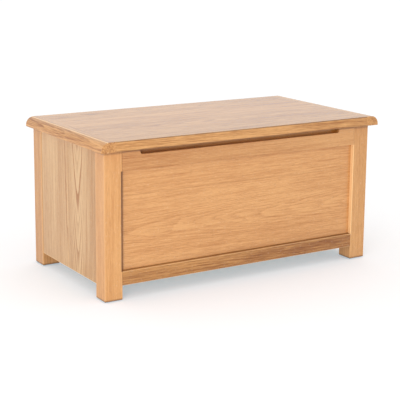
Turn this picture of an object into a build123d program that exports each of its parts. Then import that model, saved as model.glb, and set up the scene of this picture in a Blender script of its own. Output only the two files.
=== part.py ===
from build123d import *
import os
from math import asin, cos, degrees, radians, sin, sqrt

# Lift-lid oak blanket chest.
# Millimetres. Z is up, X runs along the chest, Y runs from the front (-) to the back (+).
# The origin is on the floor, under the centre of the lid.

# ---- Driving dimensions -------------------------------------------------------------------

# Lid
LID_WIDTH = 900.0
LID_DEPTH = 474.0
LID_THICKNESS = 27.0
LID_UNDERSIDE = 402.0  # height of the closed lid's underside above the floor
LID_BOARDS = 4
END_BOARD_WIDTH = 42.0  # cross-grain board at each end of the lid
END_ROUND = 23.0  # round-over along the top of the lid's two ends
END_BOTTOM_ROUND = 3.0
FRONT_OVERHANG = 22.0
BACK_OVERHANG = 10.0
SIDE_OVERHANG = 18.0

# Legs and rails
LEG = 52.0  # square section
LEG_TOP_GAP = 1.0  # filled by the lid's felt buffers
BUFFER_RADIUS = 6.0
BUFFER_SLACK = 0.05
GLIDE_RADIUS = 17.0
GLIDE_THICKNESS = 2.0
GLIDE_CHAMFER = 0.5
RAIL_THICKNESS = 28.0
RAIL_INSET = 0.5  # rail face behind leg face
RAIL_BOTTOM = 40.0
BOTTOM_RAIL_HEIGHT = 38.0
TOP_RAIL_BOTTOM = 346.0
TOP_GAP = 2.5  # between the lid and the top edge of the rails and side boards

# Finger notch in the top edge of the front rail
NOTCH_LENGTH = 652.0
NOTCH_BOTTOM = 386.0
NOTCH_CORNER = 7.0
NOTCH_DEPTH = 18.0  # from the rail's face, leaving a strip of wood behind

# Panels and side boards
PANEL_RECESS = 12.0
PANEL_THICKNESS = 9.0
GROOVE_DEPTH = 8.0
GROOVE_SLACK = 1.0  # panel or tongue stops this far short of its groove
SIDE_BOARD_THICKNESS = 18.0
SIDE_BOARD_INSET = 1.5
TONGUE_THICKNESS = 10.0
TENON_LENGTH = 22.0
TENON_SHOULDER = 10.0
LOWER_SHOULDER = 4.0  # under the bottom rail's tenon and the side board's tongue
UPPER_SHOULDER = 6.0  # over the top rail's tenon
BOARD_JOINT_DEPTH = 6.0  # tongue between the two boards of a side
BOARD_JOINT_HALF = 3.0
BOARD_JOINT_SLACK = 0.5
BOARD_EDGE_EASE = 0.4

# Floor and battens inside the chest
FLOOR_THICKNESS = 9.0
FLOOR_BOARDS = 4
FLOOR_BOARD_GAP = 1.0
FLOOR_SLACK = 0.5  # round the floor boards and the legs they are notched over
CLEAT = 20.0
CLEAT_END_GAP = 1.0
SIDE_BATTEN_HEIGHT = 60.0
LID_BATTEN_WIDTH = 60.0
LID_BATTEN_THICKNESS = 18.0
LID_BATTEN_LENGTH = 330.0
LID_BATTEN_CHAMFER = 10.0
LID_BATTEN_X = 262.0

# Tongues of the lid boards in the end boards
LID_TONGUE = 12.0
LID_TONGUE_RISE = 9.0  # above the lid's underside
LID_TONGUE_THICKNESS = 9.0
LID_TONGUE_END = 20.0  # from the lid's front and back edges
LID_TONGUE_SLACK = 0.5

# Butt hinges
HINGE_X = 290.0
HINGE_LENGTH = 76.0
LEAF_THICKNESS = 2.5
LEAF_FRONT = 24.5  # from the pin to the leaf's front edge
PIN_BEHIND_BODY = 1.5
PIN_RADIUS = 2.0
PIN_CLEARANCE = 0.05
KNUCKLES = 5
KNUCKLE_GAP = 0.4
KNUCKLE_RELIEF = 0.45
KNUCKLE_END_RELIEF = 0.5
PIN_CAP = 0.8
PIN_CAP_RIM = 1.0
HINGE_SCREW_X = (-25.0, 0.0, 25.0)
HINGE_SCREW_INSET = 14.0  # in front of the pin

# Slotted lid stay on the right side
STAY_RADIUS = 130.0  # hinge pin to stud, and hinge pin to rivet
STAY_BRACKET_DROP = 14.0
STAY_STUD_ANGLE = 18.0
LID_OPEN_ANGLE = 95.0
STAY_ARM_WIDTH = 15.0
STAY_ARM_THICKNESS = 2.0
STAY_STUD_RADIUS = 2.5
STAY_SLOT_WIDTH = 5.6
STAY_GAP = 0.3
STAY_PLATE = 2.0
STAY_PLATE_HALF = (19.0, 9.0)
STAY_PLATE_CORNER = 4.0
STAY_PLATE_TO_ARM = 1.2
STAY_STUD_HEAD = (5.5, 2.0)  # radius, height
STAY_EAR = 2.5
STAY_EAR_RADIUS = 8.0
STAY_FOOT = 15.0
STAY_FOOT_HALF = 18.0
STAY_RIVET_RADIUS = 4.5
STAY_RIVET_HEAD = 1.2
STAY_RIVET_TAIL = 0.8
STAY_LID_SCREW_SPREAD = 10.0
STAY_LID_SCREW_INSET = 8.0
STAY_BODY_SCREW_SPREAD = 13.0

# Screws: shank radius and length, and where they go
SMALL_SCREW = (1.5, 16.0)
WOOD_SCREW = (2.0, 30.0)
FLOOR_SCREW = (1.75, 22.0)
SIDE_SCREW_REACH = 140.0  # from the middle of the body to the outermost screws
END_SCREW_REACH = 330.0
BATTEN_SCREW_RISE = 12.0
FLOOR_SCREW_EDGE = 25.0
LID_BATTEN_SCREW_Y = (-135.0, -50.0, 50.0, 135.0)

# Small radii
LEG_ARRIS = 2.0
LID_ARRIS = 1.5
RAIL_ARRIS = 1.0

# ---- Derived positions --------------------------------------------------------------------

LID_TOP = LID_UNDERSIDE + LID_THICKNESS
BODY_X = LID_WIDTH / 2 - SIDE_OVERHANG
BODY_FRONT = -LID_DEPTH / 2 + FRONT_OVERHANG
BODY_BACK = LID_DEPTH / 2 - BACK_OVERHANG
BODY_MID = (BODY_FRONT + BODY_BACK) / 2
LEG_INNER_X = BODY_X - LEG
LEG_INNER_Y = (BODY_BACK - BODY_FRONT) / 2 - LEG  # from the middle of the body
LEG_TOP = LID_UNDERSIDE - LEG_TOP_GAP
RAIL_TOP = LID_UNDERSIDE - TOP_GAP
NOTCH_HEIGHT = RAIL_TOP - NOTCH_BOTTOM + 1  # runs out past the rail's top edge
BOTTOM_RAIL_TOP = RAIL_BOTTOM + BOTTOM_RAIL_HEIGHT

# Distances from the middle of the body to faces that are the same at the front and the back
HALF_DEPTH = (BODY_BACK - BODY_FRONT) / 2
RAIL_OUTER = HALF_DEPTH - RAIL_INSET
RAIL_INNER = RAIL_OUTER - RAIL_THICKNESS
PANEL_OUTER = HALF_DEPTH - PANEL_RECESS
PANEL_INNER = PANEL_OUTER - PANEL_THICKNESS
RAIL_CENTRE = (RAIL_OUTER + RAIL_INNER) / 2

BOARD_OUTER = BODY_X - SIDE_BOARD_INSET
BOARD_INNER = BOARD_OUTER - SIDE_BOARD_THICKNESS
BOARD_CENTRE = (BOARD_OUTER + BOARD_INNER) / 2
BOARD_TONGUE_BOTTOM = RAIL_BOTTOM + LOWER_SHOULDER
BOARD_TONGUE_TOP = RAIL_TOP - TENON_SHOULDER
CLEAT_INNER_X = BOARD_INNER - CLEAT
CLEAT_INNER_Y = RAIL_INNER - CLEAT

PIN_Y = BODY_BACK + PIN_BEHIND_BODY
PIN_Z = LID_UNDERSIDE - TOP_GAP / 2
KNUCKLE_RADIUS = TOP_GAP / 2 + LEAF_THICKNESS
KNUCKLE_PITCH = HINGE_LENGTH / KNUCKLES
HINGE_SCREW_Y = PIN_Y - HINGE_SCREW_INSET
RELIEF_RADIUS = KNUCKLE_RADIUS + KNUCKLE_RELIEF
RELIEF_LENGTH = HINGE_LENGTH + 2 * (PIN_CAP + KNUCKLE_END_RELIEF)

# The stay's stud and rivet are the same distance from the hinge pin, so the arm turns by exactly
# half the lid's angle while the stud slides along its slot.
RIVET_Z = LID_UNDERSIDE - STAY_BRACKET_DROP
RIVET_Y = PIN_Y - sqrt(STAY_RADIUS**2 - (PIN_Z - RIVET_Z) ** 2)
STUD_Y = PIN_Y - STAY_RADIUS * cos(radians(STAY_STUD_ANGLE))
STUD_Z = PIN_Z - STAY_RADIUS * sin(radians(STAY_STUD_ANGLE))
CLOSED_ANGLE = STAY_STUD_ANGLE - degrees(asin((PIN_Z - RIVET_Z) / STAY_RADIUS))
CLOSED_REACH = 2 * STAY_RADIUS * sin(radians(CLOSED_ANGLE / 2))
OPEN_REACH = 2 * STAY_RADIUS * sin(radians((CLOSED_ANGLE + LID_OPEN_ANGLE) / 2))
PLATE_FACE_X = CLEAT_INNER_X - STAY_PLATE
ARM_OUTER_X = PLATE_FACE_X - STAY_PLATE_TO_ARM
ARM_INNER_X = ARM_OUTER_X - STAY_ARM_THICKNESS
EAR_OUTER_X = ARM_INNER_X - STAY_GAP
EAR_INNER_X = EAR_OUTER_X - STAY_EAR
BRACKET_SCREW_Y = (RIVET_Y - STAY_LID_SCREW_SPREAD, RIVET_Y + STAY_LID_SCREW_SPREAD)
BRACKET_SCREW_X = EAR_INNER_X - STAY_LID_SCREW_INSET
STUD_SCREW_Y = (STUD_Y - STAY_BODY_SCREW_SPREAD, STUD_Y + STAY_BODY_SCREW_SPREAD)

NEAR = 0.01  # two positions closer than this are the same
SIDES = {-1: "left", 1: "right"}
ENDS = {-1: "front", 1: "back"}

# ---- Helpers ------------------------------------------------------------------------------


def block(x, y, z, mode=Mode.ADD):
    """Add or cut a box between two limits on each axis."""
    centre = ((x[0] + x[1]) / 2, (y[0] + y[1]) / 2, (z[0] + z[1]) / 2)
    with Locations(centre):
        Box(abs(x[1] - x[0]), abs(y[1] - y[0]), abs(z[1] - z[0]), mode=mode)


def across(side, inner, outer):
    """Limits in X on the left (-1) or right (1)."""
    return (side * inner, side * outer)


def depth(end, inner, outer):
    """Limits in Y towards the front (-1) or back (1), measured from the middle of the body."""
    return (BODY_MID + end * inner, BODY_MID + end * outer)


def screws(places, radius, length, mode=Mode.ADD):
    """Countersunk screws: each place is a plane on the surface, facing out of the head."""
    head = 2 * radius
    with Locations(*places):
        Cylinder(radius, length, align=(Align.CENTER, Align.CENTER, Align.MAX), mode=mode)
        Cone(radius, head, radius, align=(Align.CENTER, Align.CENTER, Align.MAX), mode=mode)
        if mode == Mode.ADD:
            top = (Align.CENTER, Align.CENTER, Align.MAX)
            Box(radius * 2, radius * 0.4, radius * 0.7, align=top, mode=Mode.SUBTRACT)
            Box(radius * 0.4, radius * 2, radius * 0.7, align=top, mode=Mode.SUBTRACT)


def save(builder, label):
    """Name one sub-part and write it to its STEP file."""
    builder.part.label = label
    export_step(builder.part, f"parts/{label}.step")


os.makedirs("parts", exist_ok=True)

# ---- Screw positions, used by the screws and by the wood they go into ------------------------


def side_screw_planes(side, height, count, reach):
    """Planes on the inner face of a batten on one side, facing into the chest."""
    step = 2 * reach / (count - 1)
    return [
        Plane(
            origin=(side * CLEAT_INNER_X, BODY_MID - reach + i * step, height),
            z_dir=(-side, 0, 0),
        )
        for i in range(count)
    ]


def end_screw_planes(end, height, count, reach):
    """Planes on the inner face of a front or back cleat, facing into the chest."""
    step = 2 * reach / (count - 1)
    return [
        Plane(
            origin=(-reach + i * step, BODY_MID + end * CLEAT_INNER_Y, height),
            z_dir=(0, -end, 0),
        )
        for i in range(count)
    ]


CLEAT_MIDDLE = BOTTOM_RAIL_TOP - CLEAT / 2
BATTEN_BOTTOM = RAIL_TOP - SIDE_BATTEN_HEIGHT
BATTEN_MIDDLE = RAIL_TOP - SIDE_BATTEN_HEIGHT / 2
BATTEN_SCREW_Z = BATTEN_MIDDLE + BATTEN_SCREW_RISE
SIDE_BATTEN_SCREWS = {s: side_screw_planes(s, BATTEN_SCREW_Z, 3, SIDE_SCREW_REACH) for s in SIDES}
SIDE_CLEAT_SCREWS = {s: side_screw_planes(s, CLEAT_MIDDLE, 3, SIDE_SCREW_REACH) for s in SIDES}
END_CLEAT_SCREWS = {e: end_screw_planes(e, CLEAT_MIDDLE, 4, END_SCREW_REACH) for e in ENDS}

FLOOR_FRONT = BODY_MID - PANEL_INNER + FLOOR_SLACK
FLOOR_BACK = BODY_MID + PANEL_INNER - FLOOR_SLACK
FLOOR_TOP = BOTTOM_RAIL_TOP + FLOOR_THICKNESS
FLOOR_BOARD_WIDTH = (FLOOR_BACK - FLOOR_FRONT - (FLOOR_BOARDS - 1) * FLOOR_BOARD_GAP) / FLOOR_BOARDS


def floor_board_limits(index):
    """Front and back edges of one floor board."""
    front = FLOOR_FRONT + index * (FLOOR_BOARD_WIDTH + FLOOR_BOARD_GAP)
    return front, front + FLOOR_BOARD_WIDTH


def floor_screw_y(index):
    """Y of the screws in one floor board, kept clear of the legs in the outer boards."""
    front, back = floor_board_limits(index)
    if index == 0:
        return back - FLOOR_SCREW_EDGE
    if index == FLOOR_BOARDS - 1:
        return front + FLOOR_SCREW_EDGE
    return (front + back) / 2


FLOOR_SCREWS = [
    Plane(origin=(side * (BOARD_INNER - CLEAT / 2), floor_screw_y(i), FLOOR_TOP))
    for i in range(FLOOR_BOARDS)
    for side in SIDES
]

LID_BOARD_WIDTH = LID_DEPTH / LID_BOARDS
LID_BATTEN_SCREWS = [
    Plane(
        origin=(side * LID_BATTEN_X, offset, LID_UNDERSIDE - LID_BATTEN_THICKNESS),
        z_dir=(0, 0, -1),
    )
    for side in SIDES
    for offset in LID_BATTEN_SCREW_Y
]

HINGE_SCREWS_BODY = [
    Plane(origin=(side * HINGE_X + x, HINGE_SCREW_Y, RAIL_TOP))
    for side in SIDES
    for x in HINGE_SCREW_X
]
HINGE_SCREWS_LID = [
    Plane(origin=(side * HINGE_X + x, HINGE_SCREW_Y, LID_UNDERSIDE), z_dir=(0, 0, -1))
    for side in SIDES
    for x in HINGE_SCREW_X
]
STAY_SCREWS_LID = [
    Plane(origin=(BRACKET_SCREW_X, y, LID_UNDERSIDE - STAY_EAR), z_dir=(0, 0, -1))
    for y in BRACKET_SCREW_Y
]
STAY_SCREWS_BODY = [
    Plane(origin=(PLATE_FACE_X, y, STUD_Z), z_dir=(-1, 0, 0)) for y in STUD_SCREW_Y
]

# ---- Legs ---------------------------------------------------------------------------------

LEG_MIDDLE_X = BODY_X - LEG / 2
LEG_MIDDLE_Y = HALF_DEPTH - LEG / 2
BOTTOM_TENON = (RAIL_BOTTOM + LOWER_SHOULDER, BOTTOM_RAIL_TOP - TENON_SHOULDER)
TOP_TENON = (TOP_RAIL_BOTTOM + TENON_SHOULDER, RAIL_TOP - UPPER_SHOULDER)
PANEL_BOTTOM = BOTTOM_RAIL_TOP - GROOVE_DEPTH + GROOVE_SLACK
PANEL_TOP = TOP_RAIL_BOTTOM + GROOVE_DEPTH - GROOVE_SLACK
TENON_LIMITS = (RAIL_CENTRE - TONGUE_THICKNESS / 2, RAIL_CENTRE + TONGUE_THICKNESS / 2)
BOARD_TONGUE = (BOARD_CENTRE - TONGUE_THICKNESS / 2, BOARD_CENTRE + TONGUE_THICKNESS / 2)


def make_leg(side, end):
    """Square leg with a panel groove, two rail mortises and a groove for the side board."""
    with BuildPart() as leg:
        block(
            across(side, LEG_INNER_X, BODY_X),
            depth(end, LEG_INNER_Y, HALF_DEPTH),
            (GLIDE_THICKNESS, LEG_TOP),
        )
        fillet(leg.edges().filter_by(Axis.Z), LEG_ARRIS)
        chamfer(leg.edges().group_by(Axis.Z)[0], RAIL_ARRIS)
        fillet(leg.edges().group_by(Axis.Z)[-1], RAIL_ARRIS)
        # Groove for the front or back panel
        block(
            across(side, LEG_INNER_X, LEG_INNER_X + GROOVE_DEPTH),
            depth(end, PANEL_INNER, PANEL_OUTER),
            (PANEL_BOTTOM, PANEL_TOP),
            Mode.SUBTRACT,
        )
        # Mortises for the two rails
        for limits in (BOTTOM_TENON, TOP_TENON):
            block(
                across(side, LEG_INNER_X, LEG_INNER_X + TENON_LENGTH + GROOVE_SLACK),
                depth(end, *TENON_LIMITS),
                limits,
                Mode.SUBTRACT,
            )
        # Groove for the side board's tongue
        block(
            across(side, *BOARD_TONGUE),
            depth(end, LEG_INNER_Y, LEG_INNER_Y + GROOVE_DEPTH),
            (BOARD_TONGUE_BOTTOM, BOARD_TONGUE_TOP),
            Mode.SUBTRACT,
        )
    save(leg, f"leg_{ENDS[end]}_{SIDES[side]}")


for end in ENDS:
    for side in SIDES:
        make_leg(side, end)

LEG_CENTRES = [(s * LEG_MIDDLE_X, BODY_MID + e * LEG_MIDDLE_Y) for s in SIDES for e in ENDS]

with BuildPart() as leg_glides:
    with Locations(*[(x, y, 0) for x, y in LEG_CENTRES]):
        Cylinder(GLIDE_RADIUS, GLIDE_THICKNESS, align=(Align.CENTER, Align.CENTER, Align.MIN))
    chamfer(leg_glides.edges().group_by(Axis.Z)[0], GLIDE_CHAMFER)
save(leg_glides, "leg_glides")

with BuildPart() as lid_buffers:
    with Locations(*[(x, y, LEG_TOP) for x, y in LEG_CENTRES]):
        height = LEG_TOP_GAP - BUFFER_SLACK
        Cylinder(BUFFER_RADIUS, height, align=(Align.CENTER, Align.CENTER, Align.MIN))
save(lid_buffers, "lid_buffers")

# ---- Rails --------------------------------------------------------------------------------


def rail_body(end, bottom, top, tenon):
    """Rail between two legs with a tenon on each end, before its groove is cut."""
    block((-LEG_INNER_X, LEG_INNER_X), depth(end, RAIL_INNER, RAIL_OUTER), (bottom, top))
    for side in SIDES:
        block(
            across(side, LEG_INNER_X, LEG_INNER_X + TENON_LENGTH),
            depth(end, *TENON_LIMITS),
            tenon,
        )


def panel_groove(end, edge, inward):
    """Groove for the panel, cut from a rail's edge."""
    block(
        (-LEG_INNER_X, LEG_INNER_X),
        depth(end, PANEL_INNER, PANEL_OUTER),
        (edge, edge + inward * GROOVE_DEPTH),
        Mode.SUBTRACT,
    )


def long_edges(part, end, bottom, top):
    """The rail's outer long edges at the given heights."""
    face_y = BODY_MID + end * RAIL_OUTER
    on_face = part.edges().filter_by(Axis.X).filter_by_position(Axis.Y, face_y - NEAR, face_y + NEAR)
    return [edge for edge in on_face if min(abs(edge.center().Z - z) for z in (bottom, top)) < NEAR]


for end in ENDS:
    with BuildPart() as bottom_rail:
        rail_body(end, RAIL_BOTTOM, BOTTOM_RAIL_TOP, BOTTOM_TENON)
        fillet(long_edges(bottom_rail, end, RAIL_BOTTOM, BOTTOM_RAIL_TOP), RAIL_ARRIS)
        panel_groove(end, BOTTOM_RAIL_TOP, -1)
        screws(END_CLEAT_SCREWS[end], *WOOD_SCREW, mode=Mode.SUBTRACT)
    save(bottom_rail, f"{ENDS[end]}_bottom_rail")

with BuildPart() as front_top_rail:
    rail_body(-1, TOP_RAIL_BOTTOM, RAIL_TOP, TOP_TENON)
    fillet(long_edges(front_top_rail, -1, TOP_RAIL_BOTTOM, RAIL_TOP), RAIL_ARRIS)
    panel_groove(-1, TOP_RAIL_BOTTOM, 1)
    # Finger notch, open at the top and the front
    with BuildSketch(Plane.XZ.offset(-BODY_MID + RAIL_OUTER)) as notch:
        with Locations((0, NOTCH_BOTTOM)):
            Rectangle(NOTCH_LENGTH, NOTCH_HEIGHT, align=(Align.CENTER, Align.MIN))
        fillet(notch.vertices().group_by(Axis.Y)[0], NOTCH_CORNER)
    extrude(amount=-NOTCH_DEPTH, mode=Mode.SUBTRACT)
    notch_floor = front_top_rail.faces().filter_by(Axis.Z).filter_by(
        lambda face: abs(face.center().Z - NOTCH_BOTTOM) < NEAR
    )
    fillet(notch_floor.edges().filter_by(Axis.X).sort_by(Axis.Y)[0], RAIL_ARRIS)
save(front_top_rail, "front_top_rail")

with BuildPart() as back_top_rail:
    rail_body(1, TOP_RAIL_BOTTOM, RAIL_TOP, TOP_TENON)
    fillet(long_edges(back_top_rail, 1, TOP_RAIL_BOTTOM, TOP_RAIL_BOTTOM), RAIL_ARRIS)
    panel_groove(1, TOP_RAIL_BOTTOM, 1)
    # Hinge mortises
    for side in SIDES:
        block(
            (side * HINGE_X - HINGE_LENGTH / 2, side * HINGE_X + HINGE_LENGTH / 2),
            (PIN_Y - LEAF_FRONT, BODY_BACK),
            (RAIL_TOP - LEAF_THICKNESS, RAIL_TOP),
            Mode.SUBTRACT,
        )
        with Locations(Plane(origin=(side * HINGE_X, PIN_Y, PIN_Z), z_dir=(1, 0, 0))):
            Cylinder(RELIEF_RADIUS, RELIEF_LENGTH, mode=Mode.SUBTRACT)
    screws(HINGE_SCREWS_BODY, *SMALL_SCREW, mode=Mode.SUBTRACT)
save(back_top_rail, "back_top_rail")

# ---- Panels -------------------------------------------------------------------------------

for end in ENDS:
    with BuildPart() as panel:
        reach = LEG_INNER_X + GROOVE_DEPTH - GROOVE_SLACK
        block((-reach, reach), depth(end, PANEL_INNER, PANEL_OUTER), (PANEL_BOTTOM, PANEL_TOP))
    save(panel, f"{ENDS[end]}_panel")

# ---- Side boards --------------------------------------------------------------------------

for side in SIDES:
    for end in ENDS:
        with BuildPart() as side_board:
            block(
                across(side, BOARD_INNER, BOARD_OUTER),
                depth(end, 0, LEG_INNER_Y),
                (RAIL_BOTTOM, RAIL_TOP),
            )
            outer_face = side_board.faces().sort_by(Axis.X)[0 if side < 0 else -1]
            chamfer(outer_face.edges().filter_by(Axis.Z), BOARD_EDGE_EASE)
            block(
                across(side, *BOARD_TONGUE),
                depth(end, LEG_INNER_Y, LEG_INNER_Y + GROOVE_DEPTH - GROOVE_SLACK),
                (BOARD_TONGUE_BOTTOM, BOARD_TONGUE_TOP),
            )
            joint_x = (BOARD_CENTRE - BOARD_JOINT_HALF, BOARD_CENTRE + BOARD_JOINT_HALF)
            if end < 0:
                # Tongue of the front board
                block(across(side, *joint_x), depth(1, 0, BOARD_JOINT_DEPTH), (RAIL_BOTTOM, RAIL_TOP))
            else:
                # Groove of the back board
                block(
                    across(side, *joint_x),
                    depth(1, 0, BOARD_JOINT_DEPTH + BOARD_JOINT_SLACK),
                    (RAIL_BOTTOM, RAIL_TOP),
                    Mode.SUBTRACT,
                )
            screws(SIDE_BATTEN_SCREWS[side], *WOOD_SCREW, mode=Mode.SUBTRACT)
            screws(SIDE_CLEAT_SCREWS[side], *WOOD_SCREW, mode=Mode.SUBTRACT)
        save(side_board, f"side_board_{SIDES[side]}_{ENDS[end]}")

# ---- Battens and cleats inside the chest ----------------------------------------------------

for side in SIDES:
    with BuildPart() as side_batten:
        block(
            across(side, CLEAT_INNER_X, BOARD_INNER),
            depth(1, -LEG_INNER_Y, LEG_INNER_Y),
            (BATTEN_BOTTOM, RAIL_TOP),
        )
        screws(SIDE_BATTEN_SCREWS[side], *WOOD_SCREW, mode=Mode.SUBTRACT)
        if side > 0:
            screws(STAY_SCREWS_BODY, *SMALL_SCREW, mode=Mode.SUBTRACT)
    save(side_batten, f"side_batten_{SIDES[side]}")

    with BuildPart() as side_cleat:
        block(
            across(side, CLEAT_INNER_X, BOARD_INNER),
            depth(1, -LEG_INNER_Y, LEG_INNER_Y),
            (BOTTOM_RAIL_TOP - CLEAT, BOTTOM_RAIL_TOP),
        )
        screws(SIDE_CLEAT_SCREWS[side], *WOOD_SCREW, mode=Mode.SUBTRACT)
        screws(FLOOR_SCREWS, *FLOOR_SCREW, mode=Mode.SUBTRACT)
    save(side_cleat, f"floor_cleat_{SIDES[side]}")

for end in ENDS:
    with BuildPart() as end_cleat:
        block(
            (-LEG_INNER_X + CLEAT_END_GAP, LEG_INNER_X - CLEAT_END_GAP),
            depth(end, CLEAT_INNER_Y, RAIL_INNER),
            (BOTTOM_RAIL_TOP - CLEAT, BOTTOM_RAIL_TOP),
        )
        screws(END_CLEAT_SCREWS[end], *WOOD_SCREW, mode=Mode.SUBTRACT)
    save(end_cleat, f"floor_cleat_{ENDS[end]}")

with BuildPart() as cleat_screws:
    for planes in (SIDE_BATTEN_SCREWS, SIDE_CLEAT_SCREWS, END_CLEAT_SCREWS):
        for group in planes.values():
            screws(group, *WOOD_SCREW)
save(cleat_screws, "cleat_screws")

# ---- Floor --------------------------------------------------------------------------------

FLOOR_HALF = BOARD_INNER - FLOOR_BOARD_GAP

for index in range(FLOOR_BOARDS):
    with BuildPart() as floor_board:
        block((-FLOOR_HALF, FLOOR_HALF), floor_board_limits(index), (BOTTOM_RAIL_TOP, FLOOR_TOP))
        for side in SIDES:
            for end in ENDS:
                block(
                    across(side, LEG_INNER_X - FLOOR_SLACK, BODY_X),
                    depth(end, LEG_INNER_Y - FLOOR_SLACK, HALF_DEPTH),
                    (BOTTOM_RAIL_TOP, FLOOR_TOP),
                    Mode.SUBTRACT,
                )
        screws(FLOOR_SCREWS, *FLOOR_SCREW, mode=Mode.SUBTRACT)
    save(floor_board, f"floor_board_{index + 1}")

with BuildPart() as floor_screws:
    screws(FLOOR_SCREWS, *FLOOR_SCREW)
save(floor_screws, "floor_screws")

# ---- Lid boards ---------------------------------------------------------------------------

LID_JOINT_X = LID_WIDTH / 2 - END_BOARD_WIDTH
LID_TONGUE_Z = (
    LID_UNDERSIDE + LID_TONGUE_RISE,
    LID_UNDERSIDE + LID_TONGUE_RISE + LID_TONGUE_THICKNESS,
)
LID_TONGUE_HALF = LID_DEPTH / 2 - LID_TONGUE_END


def cut_hinges():
    """Hinge mortises and knuckle reliefs in the underside of the lid."""
    for side in SIDES:
        block(
            (side * HINGE_X - HINGE_LENGTH / 2, side * HINGE_X + HINGE_LENGTH / 2),
            (PIN_Y - LEAF_FRONT, PIN_Y),
            (LID_UNDERSIDE, LID_UNDERSIDE + LEAF_THICKNESS),
            Mode.SUBTRACT,
        )
        with Locations(Plane(origin=(side * HINGE_X, PIN_Y, PIN_Z), z_dir=(1, 0, 0))):
            Cylinder(RELIEF_RADIUS, RELIEF_LENGTH, mode=Mode.SUBTRACT)
    screws(HINGE_SCREWS_LID, *SMALL_SCREW, mode=Mode.SUBTRACT)


for index in range(LID_BOARDS):
    front = -LID_DEPTH / 2 + index * LID_BOARD_WIDTH
    back = front + LID_BOARD_WIDTH
    with BuildPart() as lid_board:
        block((-LID_JOINT_X, LID_JOINT_X), (front, back), (LID_UNDERSIDE, LID_TOP))
        if index == 0:
            fillet(lid_board.edges().filter_by(Axis.X).group_by(Axis.Y)[0], LID_ARRIS)
        if index == LID_BOARDS - 1:
            fillet(lid_board.edges().filter_by(Axis.X).group_by(Axis.Y)[-1], LID_ARRIS)
        tongue = (max(front, -LID_TONGUE_HALF), min(back, LID_TONGUE_HALF))
        for side in SIDES:
            block(across(side, LID_JOINT_X, LID_JOINT_X + LID_TONGUE), tongue, LID_TONGUE_Z)
        screws(LID_BATTEN_SCREWS, *WOOD_SCREW, mode=Mode.SUBTRACT)
        if index == LID_BOARDS - 1:
            cut_hinges()
        if front < RIVET_Y < back:
            screws(STAY_SCREWS_LID, *SMALL_SCREW, mode=Mode.SUBTRACT)
    save(lid_board, f"lid_board_{index + 1}")

for side in SIDES:
    with BuildPart() as end_board:
        with BuildSketch(Plane.XZ) as profile:
            middle = side * (LID_JOINT_X + END_BOARD_WIDTH / 2)
            with Locations((middle, (LID_UNDERSIDE + LID_TOP) / 2)):
                Rectangle(END_BOARD_WIDTH, LID_THICKNESS)
            outer_corners = profile.vertices().group_by(Axis.X)[0 if side < 0 else -1].sort_by(Axis.Y)
            fillet(outer_corners[1], END_ROUND)
            fillet(outer_corners[0], END_BOTTOM_ROUND)
        extrude(amount=LID_DEPTH / 2, both=True)
        joint_edge = side * LID_JOINT_X
        for face in (end_board.faces().sort_by(Axis.Y)[0], end_board.faces().sort_by(Axis.Y)[-1]):
            outline = [edge for edge in face.edges() if abs(edge.center().X - joint_edge) > NEAR]
            fillet(outline, LID_ARRIS)
        block(
            across(side, LID_JOINT_X, LID_JOINT_X + LID_TONGUE + LID_TONGUE_SLACK),
            (-LID_TONGUE_HALF, LID_TONGUE_HALF),
            LID_TONGUE_Z,
            Mode.SUBTRACT,
        )
    save(end_board, f"lid_end_board_{SIDES[side]}")

for side in SIDES:
    with BuildPart() as lid_batten:
        block(
            (side * LID_BATTEN_X - LID_BATTEN_WIDTH / 2, side * LID_BATTEN_X + LID_BATTEN_WIDTH / 2),
            (-LID_BATTEN_LENGTH / 2, LID_BATTEN_LENGTH / 2),
            (LID_UNDERSIDE - LID_BATTEN_THICKNESS, LID_UNDERSIDE),
        )
        bottom_ends = lid_batten.edges().filter_by(Axis.X).group_by(Axis.Z)[0]
        chamfer(bottom_ends, LID_BATTEN_CHAMFER)
        screws(LID_BATTEN_SCREWS, *WOOD_SCREW, mode=Mode.SUBTRACT)
    save(lid_batten, f"lid_batten_{SIDES[side]}")

with BuildPart() as lid_batten_screws:
    screws(LID_BATTEN_SCREWS, *WOOD_SCREW)
save(lid_batten_screws, "lid_batten_screws")

# ---- Butt hinges ----------------------------------------------------------------------------


def make_leaf(side, on_lid):
    """One hinge leaf: the body leaf has the odd knuckles, the lid leaf the even ones."""
    own_first = 1 if on_lid else 0
    bottom = LID_UNDERSIDE if on_lid else RAIL_TOP - LEAF_THICKNESS
    start = side * HINGE_X - HINGE_LENGTH / 2
    bore = PIN_RADIUS + (PIN_CLEARANCE if on_lid else 0)
    with BuildPart() as leaf:
        block(
            (start, start + HINGE_LENGTH),
            (PIN_Y - LEAF_FRONT, PIN_Y),
            (bottom, bottom + LEAF_THICKNESS),
        )
        for index in range(KNUCKLES):
            own = index % 2 == own_first
            middle = start + (index + 0.5) * KNUCKLE_PITCH
            length = KNUCKLE_PITCH - KNUCKLE_GAP if own else KNUCKLE_PITCH + KNUCKLE_GAP
            radius = KNUCKLE_RADIUS if own else RELIEF_RADIUS
            with Locations(Plane(origin=(middle, PIN_Y, PIN_Z), z_dir=(1, 0, 0))):
                Cylinder(radius, length, mode=Mode.ADD if own else Mode.SUBTRACT)
        with Locations(Plane(origin=(side * HINGE_X, PIN_Y, PIN_Z), z_dir=(1, 0, 0))):
            Cylinder(bore, RELIEF_LENGTH, mode=Mode.SUBTRACT)
        screws(HINGE_SCREWS_LID if on_lid else HINGE_SCREWS_BODY, *SMALL_SCREW, mode=Mode.SUBTRACT)
    save(leaf, f"hinge_leaf_{'lid' if on_lid else 'body'}_{SIDES[side]}")


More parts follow.
